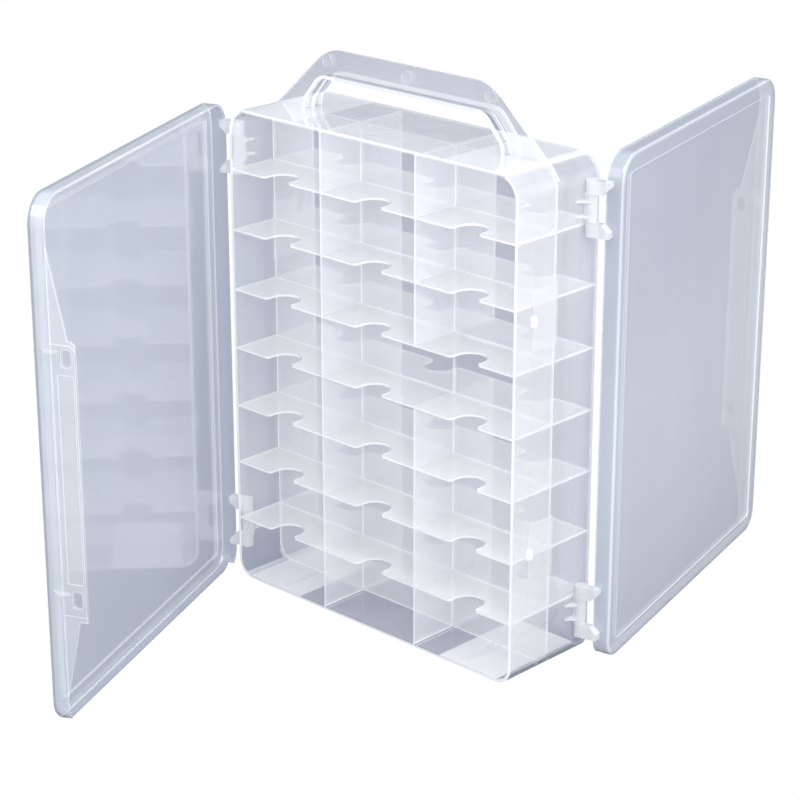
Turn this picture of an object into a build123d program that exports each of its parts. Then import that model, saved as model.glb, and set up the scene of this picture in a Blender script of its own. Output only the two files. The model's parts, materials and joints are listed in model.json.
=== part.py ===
"""Double-sided sewing box with fixed trays: a case with 46 open compartments, a carrying
handle on its top, and one hinged, latching door on each side.

Frame: origin at the centre of the base, +X to the right, -Y towards the front, +Z up.
Millimetres. Both doors are drawn open, at the angles front_open and back_open.
"""
from build123d import *
from math import cos, radians, sin, tan
import os

# ---- case ----
case_width = 280
case_depth = 83
wall = 2.4
row_pitch = 46
row_count = 8
top_corner = 18
bottom_corner = 14
partition_thickness = 1.6
shelf_thickness = 1.6
divider_thickness = 1.6
edge_setback = 0.4

# ---- finger notch in the open edge of every shelf ----
notch_width = 24
notch_depth = 19
notch_lip = 3

# ---- merged compartment: this row has no right divider, on both sides ----
merged_row = 4

# ---- floor ribs ----
rib_width = 3
rib_height = 2
rib_length = 33
rib_gap = 4

# ---- handle ----
handle_height = 45.4
handle_slope = 42
handle_web = 2.6
handle_corner = 34
grip_width = 18
grip_thickness = 2.4
grip_height = 25.5
grip_span_bottom = 190
grip_span_top = 157
grip_corner = 13
grip_upright = 6
ring_radius = 5.2
ring_width = 1.3
ring_relief = 0.4

# ---- doors ----
door_gap = 0.4
door_wall = 2
door_panel = 2
door_depth = 12.4
door_overlap = 4.5
door_edge_round = 2.6
panel_step_inset = 13
panel_step = 0.8
panel_step_corner = 3
front_open = 66
back_open = 75

# ---- hinges ----
hinge_offset = 4.8
hinge_setback = 13.3
hinge_low = 38
hinge_high = 336.5
pin_radius = 2.2
pin_clearance = 0.05
knuckle_radius = 4.5
knuckle_height = 9.4
knuckle_gap = 0.3
lug_height = 20
lug_radius = 3.8
lug_web = 5
gusset_thickness = 1.8
gusset_spacing = 10.6
gusset_tip = 12
gusset_bite = 1
arm_grip = 5.5
arm_nose = 4.2

# ---- latches ----
latch_low = 97
latch_high = 267.5
flap_thickness = 1.8
flap_reach = 18
flap_root_low = 19
flap_root_high = 340
flap_top_low = 81
flap_top_high = 279
flap_shoulder = 12.5
flap_chamfer = 3
flap_relief = 0.8
flap_strip = 5
flap_lip = 1.6
flap_pad_height = 23
window_width = 7
window_height = 12
window_reach = 11.5
window_corner = 2
fin_reach = 7
fin_rise = 3.6
fin_thickness = 1.4
fin_lift = 3.5
nub_width = 4.6
nub_height = 7.5
nub_rise = 2
nub_nose = 0.8
nub_reach = 12.3
nub_pad_height = 44
nub_pad_rise = 0.25

# ---- worked out from the dimensions above ----
half_depth = case_depth / 2
half_width = case_width / 2
case_height = wall + row_count * row_pitch
inner_half_width = half_width - wall
column_width = (2 * inner_half_width - 2 * divider_thickness) / 3
divider_x = column_width / 2 + divider_thickness / 2
column_centres = (-column_width - divider_thickness, 0, column_width + divider_thickness)
half_partition = partition_thickness / 2
shelf_depth = half_depth - half_partition - edge_setback
rim_line = half_depth - door_overlap
hinge_x = half_width + hinge_offset
hinge_y = half_depth - hinge_setback
panel_line = rim_line + door_depth
door_half_width = half_width + door_gap + door_wall
door_top = case_height + door_gap + door_wall
door_bottom = door_gap

os.makedirs("parts", exist_ok=True)


def save(part, name):
    """Label a finished piece and write it as one STEP file."""
    part.label = name
    export_step(part, f"parts/{name}.step")


def outline(half, bottom, top, low_radius, high_radius, mode=Mode.ADD):
    """Upright rounded rectangle, drawn inside a sketch whose second axis is height."""
    with BuildLine(mode=Mode.PRIVATE) as edge:
        FilletPolyline(
            (-half, bottom),
            (half, bottom),
            (half, top),
            (-half, top),
            radius=(low_radius, low_radius, high_radius, high_radius),
            close=True,
        )
    make_face(edge.edges(), mode=mode)


def case_outline(inset, mode=Mode.ADD):
    """Outline of the case, moved inwards by inset (outwards where it is negative)."""
    outline(
        half_width - inset,
        inset,
        case_height - inset,
        bottom_corner - inset,
        top_corner - inset,
        mode,
    )


def door_outline(inset, mode=Mode.ADD):
    """Outline of a door, which is a little larger than the case on three sides."""
    reach = door_gap + door_wall
    outline(
        door_half_width - inset,
        door_bottom + inset,
        door_top - inset,
        bottom_corner + reach - inset,
        top_corner + reach - inset,
        mode,
    )


# ---------------------------------------------------------------- case pieces


def make_case_shell():
    """The outer ring of the case: floor, two side walls and top, open front and back."""
    with BuildPart() as shell:
        with BuildSketch(Plane.XZ.offset(half_depth)):
            case_outline(0)
            case_outline(wall, Mode.SUBTRACT)
        extrude(amount=-case_depth)
    save(shell.part, "case_shell")


def make_partition():
    """The upright wall in the middle, which closes the back of every compartment."""
    with BuildPart() as partition:
        with BuildSketch(Plane.XZ.offset(half_partition)):
            case_outline(wall)
        extrude(amount=-partition_thickness)
    save(partition.part, "centre_partition")


def shelf_top(index):
    """Height of the upper face of a shelf, counted from the top."""
    return wall + (row_count - index) * row_pitch


def make_shelf(side, side_name, index):
    """One shelf of one side, with a rounded finger notch for each column."""
    back = side * half_partition
    front = side * (half_partition + shelf_depth)
    notch_end = front - side * (notch_depth - notch_width / 2)
    with BuildPart() as shelf:
        with BuildSketch(Plane.XY.offset(shelf_top(index) - shelf_thickness)) as plan:
            with Locations((0, (back + front) / 2)):
                Rectangle(2 * inner_half_width, shelf_depth)
            with Locations(*[(x, (front + notch_end) / 2) for x in column_centres]):
                Rectangle(notch_width, abs(front - notch_end), mode=Mode.SUBTRACT)
            with Locations(*[(x, notch_end) for x in column_centres]):
                Circle(notch_width / 2, mode=Mode.SUBTRACT)
            mouths = plan.vertices().filter_by(
                lambda corner: abs(corner.Y - front) < edge_setback / 2
                and abs(corner.X) < inner_half_width - edge_setback
            )
            fillet(mouths, radius=notch_lip)
        extrude(amount=shelf_thickness)
    save(shelf.part, f"{side_name}_shelf_{index}")


def make_divider(side, side_name, x, divider_name, skipped_row):
    """The uprights between two columns: one short wall in each row, from shelf to shelf."""
    middle = side * (half_partition + shelf_depth / 2)
    with BuildPart() as divider:
        for row in range(1, row_count + 1):
            if row == skipped_row:
                continue
            low = shelf_top(row)
            high = shelf_top(row - 1) - (shelf_thickness if row > 1 else wall)
            with BuildSketch(Plane.XY.offset(low)):
                with Locations((x, middle)):
                    Rectangle(divider_thickness, shelf_depth)
            extrude(amount=high - low)
    save(divider.part, f"{side_name}_{divider_name}_divider")


def make_floor_ribs():
    """Low bars on the floor of the outer columns, which lift small things off the floor."""
    middle = half_partition + rib_gap + rib_length / 2
    with BuildPart() as ribs:
        with BuildSketch(Plane.XY.offset(wall)):
            with Locations(*[(x, y) for x in column_centres[::2] for y in (-middle, middle)]):
                SlotOverall(rib_length, rib_width, rotation=90)
        extrude(amount=rib_height)
    save(ribs.part, "floor_ribs")


def handle_shape():
    """Outer outline of the handle; each leg runs tangent to a top corner of the case."""
    lean = radians(handle_slope)
    centre_x = half_width - top_corner
    centre_z = case_height - top_corner
    foot_x = centre_x + top_corner * sin(lean)
    foot_z = centre_z + top_corner * cos(lean)
    crown = case_height + handle_height
    shoulder_x = foot_x - (crown - foot_z) / tan(lean)
    with BuildLine(mode=Mode.PRIVATE) as edge:
        FilletPolyline(
            (-foot_x, foot_z),
            (-shoulder_x, crown),
            (shoulder_x, crown),
            (foot_x, foot_z),
            radius=handle_corner,
        )
        Polyline((foot_x, foot_z), (centre_x, centre_z), (-centre_x, centre_z), (-foot_x, foot_z))
    make_face(edge.edges())


def grip_opening(margin, mode):
    """The hand opening, grown by margin on its top and sides.

    The sides stand upright just above the case and lean in from there to the top.
    """
    base = case_height - top_corner
    top = case_height + grip_height
    lean = (grip_span_bottom - grip_span_top) / 2 / (grip_height - grip_upright)
    side_margin = margin * (1 + lean**2) ** 0.5
    base_half = grip_span_bottom / 2 + margin
    bend = top - (base_half - grip_span_top / 2 - side_margin) / lean
    top_half = grip_span_top / 2 + side_margin - lean * margin
    with BuildLine(mode=Mode.PRIVATE) as edge:
        FilletPolyline(
            (-base_half, base),
            (-base_half, bend),
            (-top_half, top + margin),
            (top_half, top + margin),
            (base_half, bend),
            (base_half, base),
            radius=grip_corner + margin,
        )
        Line((base_half, base), (-base_half, base))
    make_face(edge.edges(), mode=mode)


def handle_layer(thickness):
    """Front plane of a layer of the handle, which is centred on the partition."""
    return Plane.XZ.offset(thickness / 2)


def make_handle():
    """Carrying handle: a flat web with a wide grip flange round the hand opening."""
    ring_height = case_height + (grip_height + grip_thickness + handle_height) / 2
    ring_row = [(x, ring_height) for x in (-grip_span_top / 2, 0, grip_span_top / 2)]
    with BuildPart() as handle:
        with BuildSketch(handle_layer(handle_web)):
            handle_shape()
            case_outline(0, Mode.SUBTRACT)
            grip_opening(0, Mode.SUBTRACT)
        extrude(amount=-handle_web)
        with BuildSketch(handle_layer(grip_width)):
            grip_opening(grip_thickness, Mode.ADD)
            grip_opening(0, Mode.SUBTRACT)
            case_outline(0, Mode.SUBTRACT)
        extrude(amount=-grip_width)
        for face in (handle_web / 2, -handle_web / 2 - ring_relief):
            with BuildSketch(Plane.XZ.offset(face)):
                with Locations(*ring_row):
                    Circle(ring_radius)
                    Circle(ring_radius - ring_width, mode=Mode.SUBTRACT)
            extrude(amount=ring_relief)
    save(handle.part, "handle")


# ---------------------------------------------------------------- frames for hinges and doors


def door_frame(turn, open_angle):
    """Frame in which the front door is drawn closed, in the case's own coordinates.

    It is swung about the hinge axis by open_angle, and turned half round for the back door.
    """
    hinge = Location((-hinge_x, -hinge_y, 0))
    return Plane(Rotation(0, 0, turn) * hinge * Rotation(0, 0, -open_angle) * hinge.inverse())


def upright(frame, y):
    """Sketch plane parallel to a door: first axis across it, second axis up, normal outwards."""
    return Plane(origin=frame.from_local_coords((0, y, 0)), x_dir=frame.x_dir, z_dir=-frame.y_dir)


def endwise(frame, x):
    """Sketch plane parallel to a side wall: first axis towards the case, second axis up."""
    return Plane(origin=frame.from_local_coords((x, 0, 0)), x_dir=frame.y_dir, z_dir=frame.x_dir)


def level(frame, z):
    """Level sketch plane at a height."""
    return Plane(origin=frame.from_local_coords((0, 0, z)), x_dir=frame.x_dir, z_dir=(0, 0, 1))


# ---------------------------------------------------------------- hinge and latch on the case


def make_hinge_lug(frame, name, height):
    """Lug on a side wall: a barrel with a through pin and two pointed gussets."""
    pin_length = lug_height + 2 * (knuckle_gap + knuckle_height)
    gusset_end = -hinge_x - lug_radius + gusset_bite
    with BuildPart() as lug:
        with BuildSketch(level(frame, height - lug_height / 2)):
            with Locations((-hinge_x, -hinge_y)):
                Circle(lug_radius)
            with Locations((-half_width - hinge_offset / 2, -hinge_y)):
                Rectangle(hinge_offset, lug_web)
        extrude(amount=lug_height)
        for middle in (height - gusset_spacing / 2, height + gusset_spacing / 2):
            with BuildSketch(level(frame, middle - gusset_thickness / 2)):
                with BuildLine():
                    Polyline(
                        (-half_width, -hinge_y - lug_web),
                        (gusset_end, -hinge_y - lug_radius / 2),
                        (gusset_end, -hinge_y + lug_radius / 2),
                        (-half_width, -hinge_y + gusset_tip),
                        close=True,
                    )
                make_face()
            extrude(amount=gusset_thickness)
        with BuildSketch(level(frame, height - pin_length / 2)):
            with Locations((-hinge_x, -hinge_y)):
                Circle(pin_radius)
        extrude(amount=pin_length)
    save(lug.part, name)


def make_latch_nubs(frame, name):
    """Two catches on the side wall that the far edge of a door comes to rest on."""
    middle = -rim_line + nub_reach
    front = middle - nub_width / 2
    rear = middle + nub_width / 2
    with BuildPart() as nubs:
        for height in (latch_low, latch_high):
            with BuildSketch(level(frame, height - nub_height / 2)):
                with BuildLine():
                    Polyline(
                        (half_width, front),
                        (half_width + nub_nose, front),
                        (half_width + nub_rise, middle),
                        (half_width + nub_rise, rear),
                        (half_width, rear),
                        close=True,
                    )
                make_face()
            extrude(amount=nub_height)
            with BuildSketch(endwise(frame, half_width)):
                with Locations((middle / 2, height)):
                    Rectangle(abs(middle), nub_pad_height)
            extrude(amount=nub_pad_rise)
    save(nubs.part, name)


# ---------------------------------------------------------------- door pieces


def make_door_cover(frame, name):
    """Shallow tray that covers one side; its rim laps over the open edge of the case."""
    step_half = door_half_width - panel_step_inset
    step_low = door_bottom + panel_step_inset
    step_high = door_top - panel_step_inset
    with BuildPart() as cover:
        with BuildSketch(upright(frame, -rim_line)):
            door_outline(0)
        extrude(amount=door_depth)
        outer_face = cover.faces().sort_by(Axis((0, 0, 0), -frame.y_dir))[-1]
        fillet(outer_face.edges(), radius=door_edge_round)
        with BuildSketch(upright(frame, -rim_line)):
            door_outline(door_wall)
        extrude(amount=door_depth - door_panel, mode=Mode.SUBTRACT)
        with BuildSketch(upright(frame, -rim_line)):
            case_outline(-door_gap)
        extrude(amount=door_overlap + door_gap, mode=Mode.SUBTRACT)
        with BuildSketch(upright(frame, -panel_line)):
            outline(step_half, step_low, step_high, panel_step_corner, panel_step_corner)
        extrude(amount=-panel_step, mode=Mode.SUBTRACT)
        with BuildSketch(upright(frame, -panel_line + door_panel)):
            outline(
                step_half - panel_step,
                step_low + panel_step,
                step_high - panel_step,
                panel_step_corner,
                panel_step_corner,
            )
        extrude(amount=-panel_step)
    save(cover.part, name)


def make_latch_flap(frame, name):
    """Stiff flap on the far edge of a door, with one window for each catch."""
    root = -rim_line
    tip = root + flap_reach
    face = door_half_width
    pad_low = latch_low - window_height
    pad_high = latch_high + window_height
    recess_half = flap_pad_height / 2
    windows = [(root + window_reach, latch_low), (root + window_reach, latch_high)]
    with BuildPart() as flap:
        with BuildSketch(endwise(frame, face - flap_thickness)):
            with BuildLine():
                Polyline(
                    (root, flap_root_low),
                    (root + flap_shoulder, flap_top_low),
                    (tip, flap_top_low),
                    (tip, flap_top_high - flap_chamfer),
                    (tip - flap_chamfer, flap_top_high),
                    (root + flap_shoulder, flap_top_high),
                    (root, flap_root_high),
                    close=True,
                )
            make_face()
        extrude(amount=flap_thickness)
        with BuildSketch(endwise(frame, face)):
            with BuildLine():
                Polyline(
                    (root, pad_low),
                    (tip, pad_low),
                    (tip, pad_high - 2 * flap_chamfer),
                    (tip - flap_chamfer, pad_high - flap_chamfer),
                    (root, pad_high - flap_chamfer),
                    close=True,
                )
            make_face()
            with BuildLine(mode=Mode.PRIVATE) as recess:
                FilletPolyline(
                    (root + flap_strip, latch_low + recess_half),
                    (tip - flap_lip, latch_low + recess_half),
                    (tip - flap_lip, latch_high - recess_half),
                    (root + flap_strip, latch_high - recess_half),
                    radius=window_corner / 2,
                    close=True,
                )
            make_face(recess.edges(), mode=Mode.SUBTRACT)
        extrude(amount=flap_relief)
        with BuildSketch(endwise(frame, face - flap_thickness)):
            with Locations(*windows):
                RectangleRounded(window_width, window_height, window_corner)
        extrude(amount=flap_thickness + flap_relief, mode=Mode.SUBTRACT)
        for height in (latch_low, latch_high):
            with BuildSketch(level(frame, height + fin_lift)):
                with BuildLine():
                    ThreePointArc(
                        (face, root - fin_reach), (face + fin_rise, root), (face, root + fin_reach)
                    )
                    Line((face, root + fin_reach), (face, root - fin_reach))
                make_face()
            extrude(amount=fin_thickness)
    save(flap.part, name)


def make_knuckles(frame, name, height):
    """The pair of door knuckles of one hinge, above and below the lug, with their arms."""
    arm_width = hinge_x + knuckle_radius - door_half_width
    arm_end = -rim_line - arm_grip
    reach = lug_height / 2 + knuckle_gap
    with BuildPart() as knuckles:
        for way in (1, -1):
            inner = height + way * reach
            outer = inner + way * knuckle_height
            with BuildSketch(level(frame, min(inner, outer))):
                with Locations((-hinge_x, -hinge_y)):
                    Circle(knuckle_radius)
            extrude(amount=knuckle_height)
            with BuildSketch(endwise(frame, -hinge_x - knuckle_radius)):
                with BuildLine():
                    Polyline(
                        (-hinge_y, inner),
                        (-rim_line, inner),
                        (arm_end, outer - way * arm_nose),
                        (arm_end, outer),
                        (-hinge_y, outer),
                        close=True,
                    )
                make_face()
            extrude(amount=arm_width)
        with BuildSketch(level(frame, height - reach - knuckle_height)):
            with Locations((-hinge_x, -hinge_y)):
                Circle(pin_radius + pin_clearance)
        extrude(amount=2 * (reach + knuckle_height), mode=Mode.SUBTRACT)
    save(knuckles.part, name)


def make_case():
    """Every fixed piece."""
    make_case_shell()
    make_partition()
    make_handle()
    make_floor_ribs()
    for side, side_name in ((-1, "front"), (1, "back")):
        for index in range(1, row_count):
            make_shelf(side, side_name, index)
        make_divider(side, side_name, -divider_x, "left", None)
        make_divider(side, side_name, divider_x, "right", merged_row)


def make_door(turn, open_angle, name):
    """One door with its latch and knuckles, and the lugs and catches that it works with."""
    fixed = door_frame(turn, 0)
    swung = door_frame(turn, open_angle)
    make_latch_nubs(fixed, f"{name}_latch_catches")
    make_door_cover(swung, f"{name}_door_cover")
    make_latch_flap(swung, f"{name}_latch_flap")
    for height, place in ((hinge_low, "lower"), (hinge_high, "upper")):
        make_hinge_lug(fixed, f"{name}_{place}_hinge_lug", height)
        make_knuckles(swung, f"{name}_{place}_hinge_knuckles", height)


make_case()
make_door(0, front_open, "front")
make_door(180, back_open, "back")
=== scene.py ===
"""Looks of the double-sided sewing box: translucent plastic, soft studio light and the camera.

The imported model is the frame. Lengths are metres, in the same frame as the model.
"""
import json
import math

import bpy
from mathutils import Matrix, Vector


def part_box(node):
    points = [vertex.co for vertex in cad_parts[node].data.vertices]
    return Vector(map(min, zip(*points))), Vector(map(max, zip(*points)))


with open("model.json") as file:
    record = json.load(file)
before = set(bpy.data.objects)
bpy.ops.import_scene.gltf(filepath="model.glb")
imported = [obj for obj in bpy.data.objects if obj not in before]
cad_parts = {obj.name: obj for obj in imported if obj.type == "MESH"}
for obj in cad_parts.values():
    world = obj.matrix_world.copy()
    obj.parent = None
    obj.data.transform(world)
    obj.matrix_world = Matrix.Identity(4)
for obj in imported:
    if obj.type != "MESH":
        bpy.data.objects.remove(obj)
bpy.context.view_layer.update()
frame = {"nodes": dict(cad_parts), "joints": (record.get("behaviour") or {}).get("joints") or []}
NODES = frame["nodes"]
MM = 0.001

# ---- camera ----
CAMERA_AZIMUTH = 43.96
CAMERA_ELEVATION = 20.44
CAMERA_DISTANCE = 1.789
CAMERA_LENS = 110.0
SENSOR_WIDTH = 36.0
CLIP_END = 100
CAMERA_TARGET = Vector((-0.0108, 0.0033, 0.1648))

# ---- colours of the plastic ----
MILK = (0.93, 0.925, 0.945, 1)
SHELF_MILK = (0.95, 0.94, 0.935, 1)
DOOR_MILK = (0.83, 0.875, 0.93, 1)
BLOCK_MILK = (0.77, 0.775, 0.79, 1)
# whiter colour of the bright edges and lines: painted highlight
EDGE_HIGHLIGHT_WHITE = (0.97, 0.97, 0.98, 1)
CLEAR = (0.975, 0.98, 0.985, 1)

# ---- gloss and grain of the plastic ----
PLASTIC_IOR = 1.49
ROUGHNESS = 0.25
GLOW_SHARE = 0.4
BOTH_FACES = 1.8
FILM_LIMIT = 0.45
CLOUD_SCALE = 9.0
CLOUD_DEPTH = 0.10
CLOUD_BUMP = 2.0
STREAK_SCALE = 60.0
STREAK_STRETCH = (1, 1, 0.02)
GRAIN_SCALE = 900.0
GRAIN_BUMP = 0.6
BUMP_STRENGTH = 0.05
BUMP_HEIGHT = 0.2 * MM

# ---- heights where the plastic is made clearer, so darker, near the floor, and denser round the middle as a painted band of light ----
FLOOR_TOP = 4.0 * MM
LOW_REACH = 70.0 * MM
LIGHT_BAND_HEIGHT = 0.15
LIGHT_BAND_REACH = 0.2

# ---- studio: colours of the surroundings by how a ray reaches them ----
DIRECT = (1.0, 1.0, 1.0, 1)
THROUGH = (0.175, 0.21, 0.315, 1)
WORLD_LIGHT = (1.06, 1.105, 1.14, 1)
FLOOR_LIGHT = (0.76, 0.72, 0.75, 1)
MIRRORED = (0.46, 0.50, 0.57, 1)
MIRRORED_FLOOR = (0.06, 0.07, 0.09, 1)

# ---- studio: softboxes as name, size, watts, place, and whether they show in reflections ----
SOFTBOXES = (
    ("top_softbox", (2.2, 2.2), 29.0, (0.2, -0.1, 1.5), False),
    ("right_softbox", (1.8, 1.8), 31.0, (1.5, -0.4, 0.7), False),
    ("front_softbox", (1.4, 1.0), 9.0, (0.1, -1.3, 1.3), True),
)
SOFTBOX_TARGET = Vector((0, 0, 0.2))
FLOOR_SIZE = 60
FLOOR_DROP = 0.5 * MM
TRANSPARENT_BOUNCES = 40
BOUNCES = 8


# ---------------------------------------------------------------- node helpers


class Tree:
    """A material's node tree, with short calls for the nodes used here."""

    def __init__(self, name):
        self.material = bpy.data.materials.new(name)
        self.material.use_nodes = True
        self.nodes = self.material.node_tree.nodes
        self.links = self.material.node_tree.links
        self.nodes.clear()
        self.output = self.nodes.new("ShaderNodeOutputMaterial")

    def put(self, socket, value):
        """Links an output to an input, or sets the input's value."""
        if isinstance(value, bpy.types.NodeSocket):
            self.links.new(value, socket)
        else:
            socket.default_value = value

    def maths(self, operation, first, second=0.0, clamp=False):
        node = self.nodes.new("ShaderNodeMath")
        node.operation = operation
        node.use_clamp = clamp
        self.put(node.inputs[0], first)
        self.put(node.inputs[1], second)
        return node.outputs[0]

    def scaled(self, value, factor, offset):
        """value * factor + offset."""
        node = self.nodes.new("ShaderNodeMath")
        node.operation = "MULTIPLY_ADD"
        self.put(node.inputs[0], value)
        self.put(node.inputs[1], factor)
        self.put(node.inputs[2], offset)
        return node.outputs[0]

    def dot(self, vector, axis):
        node = self.nodes.new("ShaderNodeVectorMath")
        node.operation = "DOT_PRODUCT"
        self.put(node.inputs[0], vector)
        self.put(node.inputs[1], axis)
        return node.outputs["Value"]

    def ramp(self, value, low, high, to_low=0.0, to_high=1.0):
        """Smooth step of value from low to high."""
        node = self.nodes.new("ShaderNodeMapRange")
        node.interpolation_type = "SMOOTHSTEP"
        self.put(node.inputs["Value"], value)
        node.inputs["From Min"].default_value = low
        node.inputs["From Max"].default_value = high
        node.inputs["To Min"].default_value = to_low
        node.inputs["To Max"].default_value = to_high
        return node.outputs["Result"]

    def mix_colour(self, share, first, second):
        node = self.nodes.new("ShaderNodeMix")
        node.data_type = "RGBA"
        self.put(node.inputs["Factor"], share)
        self.put(node.inputs["A"], first)
        self.put(node.inputs["B"], second)
        return node.outputs["Result"]

    def mix_shader(self, share, first, second):
        node = self.nodes.new("ShaderNodeMixShader")
        self.put(node.inputs[0], share)
        self.links.new(first, node.inputs[1])
        self.links.new(second, node.inputs[2])
        return node.outputs[0]

    def noise(self, point, scale, detail, stretch=(1, 1, 1)):
        mapping = self.nodes.new("ShaderNodeMapping")
        mapping.inputs["Scale"].default_value = stretch
        self.put(mapping.inputs["Vector"], point)
        node = self.nodes.new("ShaderNodeTexNoise")
        node.inputs["Scale"].default_value = scale
        node.inputs["Detail"].default_value = detail
        node.inputs["Roughness"].default_value = 0.5
        self.links.new(mapping.outputs[0], node.inputs["Vector"])
        return node.outputs["Fac"]


def plastic(name, edge, body=0.27, milk=MILK, edge_colour=EDGE_HIGHLIGHT_WHITE, edge_front=0.66, edge_behind=0.36,
            streaks=0.0, low=1.0, light_band=0.0, thin=None, polish=0.22):
    """Translucent polypropylene, body dense on the face that light meets first and clear behind it.

    edge(tree, point, normal) gives the share of bright, dense edge, a painted highlight on most pieces, and
    thin(tree, normal) scales the rest.
    low scales the density near the floor, below 1 leaving the plastic clearer and darker there, light_band
    adds some round the middle height as a painted band of light, and polish is the roughness of the glossy
    film.
    """
    tree = Tree(name)
    place = tree.nodes.new("ShaderNodeTexCoord")
    point = place.outputs["Object"]
    rim = edge(tree, point, place.outputs["Normal"])
    side = tree.nodes.new("ShaderNodeNewGeometry").outputs["Backfacing"]
    front = tree.maths("SUBTRACT", 1.0, side)

    cloud = tree.noise(point, CLOUD_SCALE, 2.0)
    streak = tree.noise(point, STREAK_SCALE, 2.0, STREAK_STRETCH)
    grain = tree.noise(point, GRAIN_SCALE, 1.0)
    density = tree.scaled(tree.maths("SUBTRACT", cloud, 0.5), CLOUD_DEPTH, body)
    density = tree.scaled(tree.maths("SUBTRACT", streak, 0.5), streaks, density)
    height = tree.dot(point, (0, 0, 1))
    # clearer, and so darker, towards the floor where low is below 1
    density = tree.maths("MULTIPLY", density, tree.ramp(height, FLOOR_TOP, FLOOR_TOP + LOW_REACH, low, 1.0))
    # painted band of light: denser, so brighter, plastic round the middle height
    from_light_band = tree.maths("ABSOLUTE", tree.maths("SUBTRACT", height, LIGHT_BAND_HEIGHT))
    density = tree.maths("ADD", density, tree.ramp(from_light_band, LIGHT_BAND_REACH, 0.0, 0.0, light_band))
    if thin:
        density = tree.maths("MULTIPLY", density, thin(tree, place.outputs["Normal"]))
    density = tree.maths("MULTIPLY", density, front)
    # bright, dense edges and lines from the edge mask: painted highlights, and on the blocks painted shade
    # on the underside
    border = tree.maths("MULTIPLY", rim, tree.scaled(front, edge_front - edge_behind, edge_behind))
    density = tree.maths("MAXIMUM", density, border, clamp=True)

    through = tree.nodes.new("ShaderNodeBsdfTransparent")
    through.inputs["Color"].default_value = CLEAR

    # edges whiter than the body: painted highlight
    colour = tree.mix_colour(rim, milk, edge_colour)
    skin = tree.nodes.new("ShaderNodeBsdfPrincipled")
    tree.links.new(colour, skin.inputs["Base Color"])
    skin.inputs["Roughness"].default_value = ROUGHNESS
    skin.inputs["IOR"].default_value = PLASTIC_IOR
    bump = tree.nodes.new("ShaderNodeBump")
    bump.inputs["Strength"].default_value = BUMP_STRENGTH
    bump.inputs["Distance"].default_value = BUMP_HEIGHT
    relief = tree.maths("ADD", tree.maths("MULTIPLY", grain, GRAIN_BUMP),
                        tree.maths("MULTIPLY", cloud, CLOUD_BUMP))
    tree.links.new(relief, bump.inputs["Height"])
    tree.links.new(bump.outputs[0], skin.inputs["Normal"])

    glow = tree.nodes.new("ShaderNodeBsdfTranslucent")
    tree.links.new(colour, glow.inputs["Color"])
    inside = tree.mix_shader(GLOW_SHARE, skin.outputs[0], glow.outputs[0])
    layer = tree.mix_shader(density, through.outputs[0], inside)

    gloss = tree.nodes.new("ShaderNodeBsdfGlossy")
    gloss.inputs["Roughness"].default_value = polish
    tree.links.new(bump.outputs[0], gloss.inputs["Normal"])
    fresnel = tree.nodes.new("ShaderNodeFresnel")
    fresnel.inputs["IOR"].default_value = PLASTIC_IOR
    both = tree.maths("MINIMUM", tree.maths("MULTIPLY", fresnel.outputs[0], BOTH_FACES), FILM_LIMIT)
    film = tree.maths("MULTIPLY", both, front)
    tree.links.new(tree.mix_shader(film, layer, gloss.outputs[0]), tree.output.inputs["Surface"])
    return tree.material


# ---------------------------------------------------------------- where the edges are

SHELL_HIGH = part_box("case_shell")[1]
HALF_HEIGHT = SHELL_HIGH[2] / 2
FIRST_SHELF_LOW, FIRST_SHELF_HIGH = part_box("front_shelf_1")
SECOND_SHELF_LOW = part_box("front_shelf_2")[0]
DIVIDER_LOW, DIVIDER_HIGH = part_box("front_right_divider")
ROW_PITCH = FIRST_SHELF_LOW[2] - SECOND_SHELF_LOW[2]
SHELF_LEVEL = (FIRST_SHELF_LOW[2] + FIRST_SHELF_HIGH[2]) / 2
DIVIDER_X = (DIVIDER_LOW[0] + DIVIDER_HIGH[0]) / 2
JOINT_HALF = (FIRST_SHELF_HIGH[2] - FIRST_SHELF_LOW[2]) / 2 + 0.1 * MM
WALL = 2.4 * MM
HANDLE_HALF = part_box("handle")[1][1]

# ---- how far a face is turned, as the cosine to an axis where a mask starts and where it is full ----
EDGE_ON = 0.5
FACE_ON = 0.9
THIN_FACES = (0.3, 0.9)
CORNER_FACES = (0.8, 1.0)
DOOR_FLAT = (0.9, 0.97)
DOOR_UPRIGHT = (0.3, 0.1)
FILLET_GLINT_LOW = (0.45, 0.6)
FILLET_GLINT_HIGH = (0.9, 0.75)
SHARP_EDGE = (0.97, 0.85)

# ---- widths and shares of the bright lines, which are painted highlights ----
SOFT = 0.2 * MM
WALL_START = (DIVIDER_X * 1.5, DIVIDER_X * 1.6)
# share of milkiness on the blocks' underside: painted shade
UNDERSIDE_SHADE_SHARE = 0.8
FLAP_BEHIND_SHARE = 0.7
JOINT_SHARE = 0.9
LINE = 1.1 * MM
RIM_LINE = 1.8 * MM
EDGE_LINE = 0.9 * MM
CORNER = 18.0 * MM
SKIN = 1.2 * MM
PANEL_DEPTH = 12.4 * MM
DOOR_BORDER = 4.0 * MM
DOOR_STEP_DEPTH = 3.0 * MM
DOOR_RIM_SHARE = 0.75
DOOR_FILLET_GLINT_SHARE = 0.8
WEB_REACH = 2.0 * MM
FLANGE_START = 2.5 * MM
FLANGE_END = 4.0 * MM
FLANGE_LINE = 1.0 * MM
FLANGE_SHARE = 0.12
WEB_BORDER_SHARE = 0.9
CATCH_PROUD = 0.3 * MM


def near(tree, distance):
    """1 where a plate of the usual thickness, whose middle is distance away, butts on."""
    return tree.ramp(distance, JOINT_HALF + SOFT / 2, JOINT_HALF - SOFT / 2)


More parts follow.
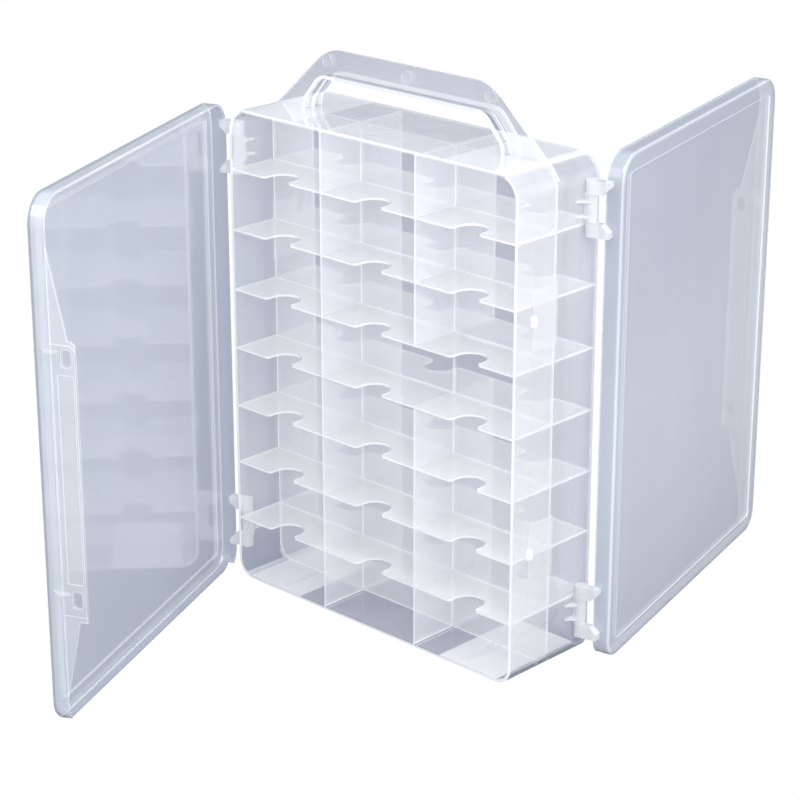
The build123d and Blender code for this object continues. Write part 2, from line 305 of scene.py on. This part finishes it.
def shelf_joint(tree, point):
    """Levels of the shelves, which repeat with the rows."""
    height = tree.dot(point, (0, 0, 1))
    phase = tree.maths("FLOORED_MODULO", tree.scaled(height, 1.0, ROW_PITCH / 2 - SHELF_LEVEL), ROW_PITCH)
    return near(tree, tree.maths("ABSOLUTE", tree.maths("SUBTRACT", phase, ROW_PITCH / 2)))


def divider_joint(tree, point):
    across = tree.maths("ABSOLUTE", tree.dot(point, (1, 0, 0)))
    return near(tree, tree.maths("ABSOLUTE", tree.maths("SUBTRACT", across, DIVIDER_X)))


def partition_joint(tree, point):
    return near(tree, tree.maths("ABSOLUTE", tree.dot(point, (0, 1, 0))))


def end_joint(axis, limit, offset=0.0):
    """Line along the end of a plate that butts on a wall, limit away from offset along axis."""
    def joint(tree, point):
        away = tree.maths("ABSOLUTE", tree.scaled(tree.dot(point, axis), 1.0, -offset))
        return tree.ramp(away, limit - LINE, limit - LINE + SOFT)
    return joint


def partition_side(tree, point):
    """Line along the side of a plate that butts on the centre partition."""
    away = tree.maths("ABSOLUTE", tree.dot(point, (0, 1, 0)))
    return tree.ramp(away, JOINT_HALF + LINE, JOINT_HALF + LINE - SOFT)


def off_axis(axis, share):
    """Scale for a thinner look on the faces that do not look along axis."""
    def thin(tree, normal):
        return tree.ramp(tree.maths("ABSOLUTE", tree.dot(normal, axis)), *THIN_FACES, share, 1.0)
    return thin


def rounded(share, level_light_share):
    """Scale for a thinner look on rounded corners, and denser, so brighter, level faces as painted light
    from above.
    """
    def thin(tree, normal):
        sides = [tree.maths("ABSOLUTE", tree.dot(normal, axis)) for axis in ((1, 0, 0), (0, 1, 0))]
        level = tree.maths("ABSOLUTE", tree.dot(normal, (0, 0, 1)))
        upright = tree.ramp(most(tree, *sides), *CORNER_FACES, share, 1.0)
        return most(tree, upright, tree.ramp(level, *CORNER_FACES, share, level_light_share))
    return thin


def most(tree, *values):
    largest = values[0]
    for value in values[1:]:
        largest = tree.maths("MAXIMUM", largest, value)
    return largest


def plate_edge(axis, *joints):
    """Edge faces of a flat plate whose faces look along axis, and lines where others butt on, all painted
    as bright highlights.
    """
    def edge(tree, point, normal):
        sides = tree.ramp(tree.maths("ABSOLUTE", tree.dot(normal, axis)), FACE_ON, EDGE_ON)
        lines = [tree.maths("MULTIPLY", joint(tree, point), JOINT_SHARE) for joint in joints]
        return most(tree, sides, *lines)
    return edge


def shell_edge(tree, point, normal):
    """Painted highlights on the front and back rims of the case, on lines where the plates butt on inside,
    and on the corner lines.
    """
    across = tree.maths("ABSOLUTE", tree.dot(point, (1, 0, 0)))
    height = tree.dot(point, (0, 0, 1))
    from_middle = tree.maths("ABSOLUTE", tree.maths("SUBTRACT", height, HALF_HEIGHT))
    outer = tree.ramp(from_middle, HALF_HEIGHT - RIM_LINE, HALF_HEIGHT - RIM_LINE + SOFT)
    sideways = tree.ramp(across, SHELL_HIGH[0] - CORNER, SHELL_HIGH[0] - CORNER / 2)
    rims = tree.ramp(tree.maths("ABSOLUTE", tree.dot(normal, (0, 1, 0))), EDGE_ON, FACE_ON)
    rims = tree.maths("MULTIPLY", rims, tree.maths("MAXIMUM", outer, sideways))
    on_wall = tree.maths("MULTIPLY", tree.ramp(across, *WALL_START),
                         tree.ramp(across, SHELL_HIGH[0] - SKIN, SHELL_HIGH[0] - SKIN - SOFT))
    below_top = tree.ramp(height, SHELL_HIGH[2] - SKIN, SHELL_HIGH[2] - SKIN - SOFT)
    shelves = tree.maths("MULTIPLY", shelf_joint(tree, point), on_wall)
    partition = tree.maths("MULTIPLY", partition_joint(tree, point),
                           tree.maths("MULTIPLY", on_wall, below_top))
    dividers = tree.maths("MULTIPLY", divider_joint(tree, point), below_top)
    joints = tree.maths("MULTIPLY", most(tree, shelves, partition, dividers), JOINT_SHARE)
    return most(tree, rims, joints)


def door_edge(outward, face, side, low_end, high_end):
    """Painted highlights on the rim, the rounded outer border and the step lines of a door, whose panel
    looks along outward.

    The panel lies between low_end and high_end along side.
    """
    middle = (low_end + high_end) / 2
    half = (high_end - low_end) / 2

    def edge(tree, point, normal):
        depth = tree.maths("SUBTRACT", face, tree.dot(point, outward))
        level = tree.maths("ABSOLUTE", tree.dot(normal, outward))
        flat = tree.ramp(level, *DOOR_FLAT)
        rim = tree.maths("MULTIPLY", tree.ramp(depth, PANEL_DEPTH - 2 * SOFT, PANEL_DEPTH - SOFT), flat)
        from_middle = tree.maths("ABSOLUTE", tree.maths("SUBTRACT", tree.dot(point, side), middle))
        height = tree.maths("ABSOLUTE", tree.maths("SUBTRACT", tree.dot(point, (0, 0, 1)), HALF_HEIGHT))
        inside = tree.maths("MULTIPLY", tree.ramp(from_middle, half - DOOR_BORDER, half - DOOR_BORDER - MM),
                            tree.ramp(height, HALF_HEIGHT - DOOR_BORDER, HALF_HEIGHT - DOOR_BORDER - MM))
        upright = tree.maths("MULTIPLY", tree.ramp(level, *DOOR_UPRIGHT), inside)
        step = tree.maths("MULTIPLY", upright, tree.ramp(depth, DOOR_STEP_DEPTH, DOOR_STEP_DEPTH - SOFT))
        # painted highlight on the rounded outer border, where the face is half turned
        fillet_glint = tree.maths("MULTIPLY", tree.ramp(level, *FILLET_GLINT_HIGH), tree.ramp(level, *FILLET_GLINT_LOW))
        return most(tree, tree.maths("MULTIPLY", rim, DOOR_RIM_SHARE), step,
                    tree.maths("MULTIPLY", fillet_glint, DOOR_FILLET_GLINT_SHARE))
    return edge


def handle_edge(tree, point, normal):
    """Border of the handle's web, its thin flange, and the flange's two bright borders; the borders are
    painted highlights.
    """
    sideways = tree.ramp(tree.maths("ABSOLUTE", tree.dot(normal, (0, 1, 0))), FACE_ON, EDGE_ON)
    from_web = tree.maths("ABSOLUTE", tree.dot(point, (0, 1, 0)))
    flange = tree.maths("MULTIPLY", tree.ramp(from_web, FLANGE_START, FLANGE_END), FLANGE_SHARE)
    border = tree.ramp(from_web, HANDLE_HALF - FLANGE_LINE, HANDLE_HALF - FLANGE_LINE + SOFT)
    web_border = tree.maths("MULTIPLY", sideways, tree.ramp(from_web, WEB_REACH, WEB_REACH - SOFT))
    return most(tree, flange, border, tree.maths("MULTIPLY", web_border, WEB_BORDER_SHARE))


def catch_edge(tree, point, normal):
    """The catch itself and the outline of its thin pad on the side wall; the outline is a painted
    highlight.
    """
    sides = tree.ramp(tree.maths("ABSOLUTE", tree.dot(normal, (1, 0, 0))), FACE_ON, EDGE_ON)
    across = tree.maths("ABSOLUTE", tree.dot(point, (1, 0, 0)))
    proud = tree.ramp(across, SHELL_HIGH[0] + CATCH_PROUD, SHELL_HIGH[0] + CATCH_PROUD + SOFT)
    return tree.maths("MAXIMUM", sides, proud)


def lined_edge(tree, point, normal):
    """Narrow bright line, a painted highlight, along every sharp edge of a moulded piece."""
    soft = tree.nodes.new("ShaderNodeBevel")
    soft.inputs["Radius"].default_value = EDGE_LINE
    crisp = tree.nodes.new("ShaderNodeNewGeometry")
    return tree.ramp(tree.dot(soft.outputs[0], crisp.outputs["Normal"]), *SHARP_EDGE)


def solid_edge(tree, point, normal):
    """A thick block is milky all over, a little less on its underside as painted shade."""
    return tree.ramp(tree.dot(normal, (0, 0, 1)), -1.0, 1.0, UNDERSIDE_SHADE_SHARE, 1.0)


def panel_direction(node):
    """Direction that most of a node's surface looks along, away from the case."""
    mesh = NODES[node].data
    best = max(mesh.polygons, key=lambda face: face.area)
    return best.normal.copy()


def paint(node, material):
    thing = NODES[node]
    thing.data.materials.clear()
    thing.data.materials.append(material)


def paint_case():
    ends_z = end_joint((0, 0, 1), HALF_HEIGHT - WALL, HALF_HEIGHT)
    ends_x = end_joint((1, 0, 0), SHELL_HIGH[0] - WALL)
    divider_edge = plate_edge((1, 0, 0), shelf_joint, ends_z, partition_side)
    partition_edge = plate_edge((0, 1, 0), shelf_joint, divider_joint, ends_z, ends_x)
    divider = plastic("divider_plastic", divider_edge, body=0.40)
    partition = plastic("partition_plastic", partition_edge, body=0.37)
    # front shelves denser, so brighter, than back ones: painted light at the front and painted shade at the
    # back
    lit_and_shaded_shelves = {
        side: plastic(f"{side}_shelf_plastic", plate_edge((0, 0, 1), divider_joint, ends_x, partition_side),
                      body=body, milk=SHELF_MILK)
        for side, body in (("front", 0.53), ("back", 0.36))
    }
    # case shell: level faces 1.2 times as dense, painted light from above, and clearer, darker plastic near
    # the floor
    shell = plastic("shell_plastic", shell_edge, body=0.42, streaks=0.14, low=0.47,
                    edge_front=0.76, thin=rounded(0.8, 1.2), polish=0.07)
    paint("case_shell", shell)
    paint("centre_partition", partition)
    paint("handle", plastic("handle_plastic_look", handle_edge, body=0.37, edge_front=0.62, edge_behind=0.3,
                             thin=off_axis((0, 1, 0), 0.3)))
    paint("floor_ribs", plastic("rib_plastic", lined_edge, body=0.14, edge_front=0.4, edge_behind=0.2))
    block = plastic("block_plastic", solid_edge, milk=BLOCK_MILK, edge_colour=BLOCK_MILK, edge_front=0.72,
                    edge_behind=0.25)
    catch = plastic("catch_plastic", catch_edge, body=0.40, edge_front=0.6, edge_behind=0.2, polish=0.07)
    for side in ("front", "back"):
        for index in range(1, 8):
            paint(f"{side}_shelf_{index}", lit_and_shaded_shelves[side])
        for name in ("left", "right"):
            paint(f"{side}_{name}_divider", divider)
        paint(f"{side}_latch_catches", catch)
        for name in ("lower", "upper"):
            paint(f"{side}_{name}_hinge_lug", block)
            paint(f"{side}_{name}_hinge_knuckles", block)


def paint_door(side, body, light_band, flap_edge):
    cover = NODES[f"{side}_door_cover"]
    outward = panel_direction(f"{side}_door_cover")
    reach = [outward.dot(v.co) for v in cover.data.vertices]
    hinge = next(j for j in frame["joints"] if j["child"] == f"{side}_door")
    middle = sum(reach) / len(reach)
    if outward.dot(Vector(hinge["pos_m"])) > middle:
        outward = -outward
        reach = [-value for value in reach]
    across = outward.cross(Vector((0, 0, 1)))
    spread = [across.dot(v.co) for v in cover.data.vertices]
    edge = door_edge(tuple(outward), max(reach), tuple(across), min(spread), max(spread))
    panel = plastic(f"{side}_door_plastic", edge, body=body, milk=DOOR_MILK, edge_front=0.70,
                    edge_behind=0.55, streaks=0.03, light_band=light_band, thin=off_axis(tuple(outward), 0.7),
                    polish=0.06)
    paint(f"{side}_door_cover", panel)
    paint(f"{side}_latch_flap", plastic(f"{side}_flap_plastic", lined_edge, edge_front=flap_edge,
                                        edge_behind=flap_edge * FLAP_BEHIND_SHARE))


# ---------------------------------------------------------------- studio


def behind_plastic(nodes, links, lighting, mirrored):
    """Colour by how the ray came: seen bare, seen through plastic, mirrored, or lighting the object."""
    path = nodes.new("ShaderNodeLightPath")
    passed = nodes.new("ShaderNodeMath")
    passed.operation = "GREATER_THAN"
    links.new(path.outputs["Transparent Depth"], passed.inputs[0])
    passed.inputs[1].default_value = 0.5
    choices = (
        (path.outputs["Is Glossy Ray"], lighting, mirrored),
        (passed.outputs[0], DIRECT, THROUGH),
    )
    results = []
    for share, first, second in choices:
        mix = nodes.new("ShaderNodeMix")
        mix.data_type = "RGBA"
        links.new(share, mix.inputs["Factor"])
        mix.inputs["A"].default_value = first
        mix.inputs["B"].default_value = second
        results.append(mix.outputs["Result"])
    pick = nodes.new("ShaderNodeMix")
    pick.data_type = "RGBA"
    links.new(path.outputs["Is Camera Ray"], pick.inputs["Factor"])
    links.new(results[0], pick.inputs["A"])
    links.new(results[1], pick.inputs["B"])
    return pick.outputs["Result"]


def make_world():
    world = bpy.data.worlds.new("studio")
    bpy.context.scene.world = world
    world.use_nodes = True
    nodes = world.node_tree.nodes
    background = nodes["Background"]
    colour = behind_plastic(nodes, world.node_tree.links, WORLD_LIGHT, MIRRORED)
    world.node_tree.links.new(colour, background.inputs["Color"])


def make_floor():
    bpy.ops.mesh.primitive_plane_add(size=FLOOR_SIZE, location=(0, 0, -FLOOR_DROP))
    floor = bpy.context.object
    floor.name = "floor"
    material = bpy.data.materials.new("floor")
    material.use_nodes = True
    nodes = material.node_tree.nodes
    nodes.clear()
    output = nodes.new("ShaderNodeOutputMaterial")
    emission = nodes.new("ShaderNodeEmission")
    colour = behind_plastic(nodes, material.node_tree.links, FLOOR_LIGHT, MIRRORED_FLOOR)
    material.node_tree.links.new(colour, emission.inputs["Color"])
    material.node_tree.links.new(emission.outputs[0], output.inputs["Surface"])
    floor.data.materials.append(material)


def make_lights():
    for name, size, watts, place, mirrored in SOFTBOXES:
        data = bpy.data.lights.new(name, "AREA")
        data.shape = "RECTANGLE"
        data.size, data.size_y = size
        data.energy = watts
        light = bpy.data.objects.new(name, data)
        light.location = place
        light.rotation_euler = (SOFTBOX_TARGET - Vector(place)).to_track_quat("-Z", "Y").to_euler()
        light.visible_camera = False
        light.visible_glossy = mirrored
        bpy.context.scene.collection.objects.link(light)


def make_camera():
    azimuth = math.radians(CAMERA_AZIMUTH)
    elevation = math.radians(CAMERA_ELEVATION)
    back = Vector((
        math.sin(azimuth) * math.cos(elevation),
        -math.cos(azimuth) * math.cos(elevation),
        math.sin(elevation),
    ))
    data = bpy.data.cameras.new("camera")
    data.lens = CAMERA_LENS
    data.sensor_width = SENSOR_WIDTH
    data.clip_end = CLIP_END
    camera = bpy.data.objects.new("camera", data)
    camera.location = CAMERA_TARGET + back * CAMERA_DISTANCE
    camera.rotation_euler = (-back).to_track_quat("-Z", "Y").to_euler()
    bpy.context.scene.collection.objects.link(camera)
    bpy.context.scene.camera = camera


paint_case()
paint_door("front", body=0.46, light_band=0.0, flap_edge=0.66)
# the back door gets a painted band of light round its middle height
paint_door("back", body=0.545, light_band=0.14, flap_edge=1.0)
make_world()
make_floor()
make_lights()
make_camera()

scene = bpy.context.scene
scene.view_settings.view_transform = "Standard"
scene.cycles.transparent_max_bounces = TRANSPARENT_BOUNCES
scene.cycles.max_bounces = BOUNCES
